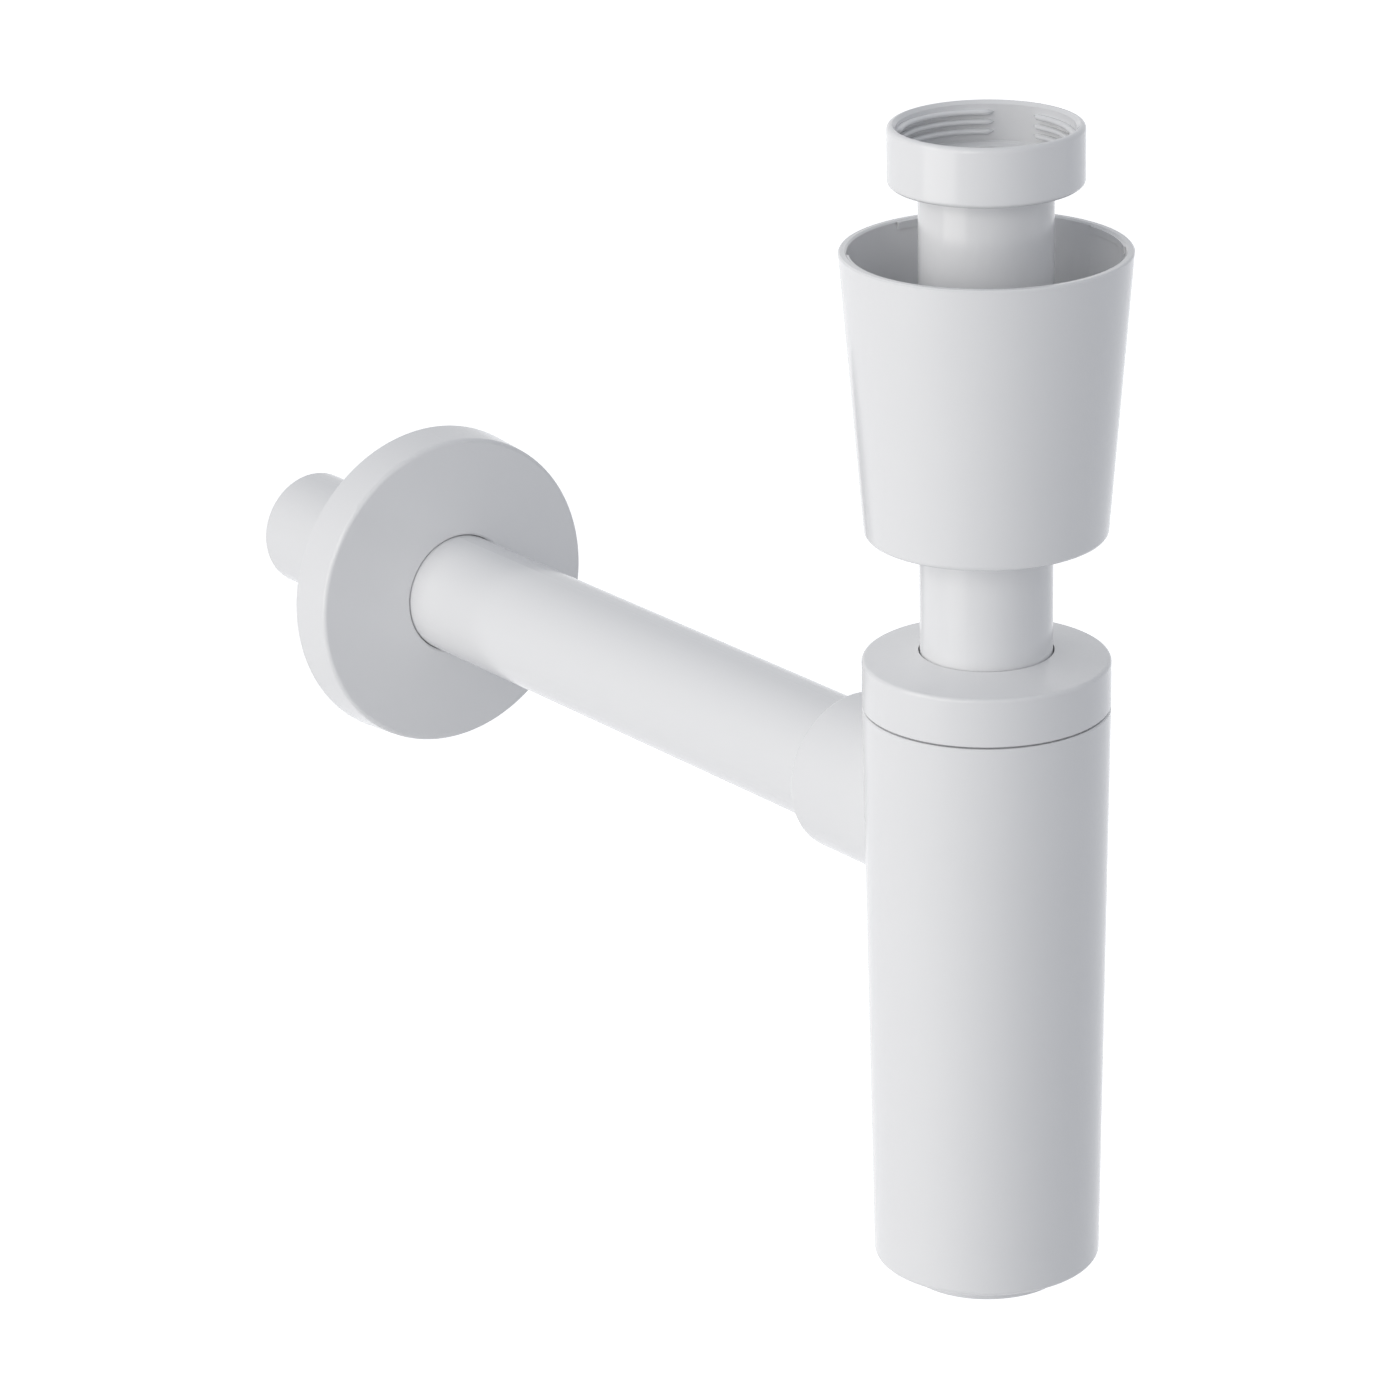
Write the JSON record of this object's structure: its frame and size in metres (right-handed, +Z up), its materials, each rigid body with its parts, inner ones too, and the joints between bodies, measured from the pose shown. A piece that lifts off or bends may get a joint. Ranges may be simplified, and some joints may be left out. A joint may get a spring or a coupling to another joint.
{
  "type": "bottle trap",
  "caption": "White washbasin bottle trap: dip tube with union nut and sliding cover cone, bottle with cap nut and cleaning plug, outlet pipe with wall escutcheon.",
  "frame": {"origin": "centre of the inlet washer's top face, where the basin waste's tail presses, on the inlet thread's axis", "axes": "+Z up along the dip tube and the inlet thread, +Y along the outlet pipe to the wall, +X to the right when looking at the wall"},
  "size_m": [0.0868, 0.3313, 0.2932],
  "materials": {
    "white_plastic": "satin white moulded polypropylene",
    "slip_ring_plastic": "natural milky polyethylene",
    "washer_rubber": "light grey rubber",
    "seal_rubber": "black rubber"
  },
  "bodies": {
    "dip_tube": {"dip_tube": "white_plastic", "inlet_washer": "washer_rubber"},
    "inlet_nut": {"inlet_nut": "white_plastic"},
    "trim_cone": {"trim_cone": "white_plastic"},
    "tube_seal": {"tube_seal": "seal_rubber"},
    "trap_body": {"trap_body": "white_plastic", "outlet_seal": "seal_rubber"},
    "slip_ring": {"slip_ring": "slip_ring_plastic"},
    "cap_nut": {"cap_nut": "white_plastic"},
    "outlet_pipe": {"outlet_pipe": "white_plastic"},
    "escutcheon": {"escutcheon": "white_plastic"},
    "plug_seal": {"plug_seal": "seal_rubber"},
    "cleaning_plug": {"cleaning_plug": "white_plastic"}
  },
  "joints": [
    {"name": "nut_turn", "type": "hinge", "parent": "dip_tube", "child": "inlet_nut", "pos_m": [0, 0, 0], "axis": [0, 0, 1], "continuous": true},
    {"name": "cone_slide", "type": "slide", "parent": "dip_tube", "child": "trim_cone", "axis": [0, 0, 1], "range_m": [-0.01, 0.078]},
    {"name": "trap_height", "type": "slide", "parent": "dip_tube", "child": "tube_seal", "axis": [0, 0, 1], "range_m": [-0.01, 0.01]},
    {"name": "trap_swivel", "type": "hinge", "parent": "tube_seal", "child": "trap_body", "pos_m": [0, 0, -0.13], "axis": [0, 0, 1], "continuous": true},
    {"name": "slip_ring_lift", "type": "slide", "parent": "trap_body", "child": "slip_ring", "axis": [0, 0, 1], "range_m": [0, 0.007]},
    {"name": "cap_turn", "type": "hinge", "parent": "slip_ring", "child": "cap_nut", "pos_m": [0, 0, -0.125], "axis": [0, 0, 1], "range_deg": [0, 840]},
    {"name": "pipe_slide", "type": "slide", "parent": "trap_body", "child": "outlet_pipe", "axis": [0, 1, 0], "range_m": [-0.005, 0.008]},
    {"name": "escutcheon_slide", "type": "slide", "parent": "outlet_pipe", "child": "escutcheon", "axis": [0, 1, 0], "range_m": [-0.165, 0.05]},
    {"name": "plug_seal_drop", "type": "slide", "parent": "trap_body", "child": "plug_seal", "axis": [0, 0, -1], "range_m": [0, 0.0075]},
    {"name": "plug_turn", "type": "hinge", "parent": "plug_seal", "child": "cleaning_plug", "pos_m": [0, 0, -0.279], "axis": [0, 0, -1], "range_deg": [0, 1080]}
  ],
  "couplings": [
    {"joint": "slip_ring_lift", "follows": "cap_turn", "m_per_rad": 0.00047746},
    {"joint": "plug_seal_drop", "follows": "plug_turn", "m_per_rad": 0.00039789}
  ]
}
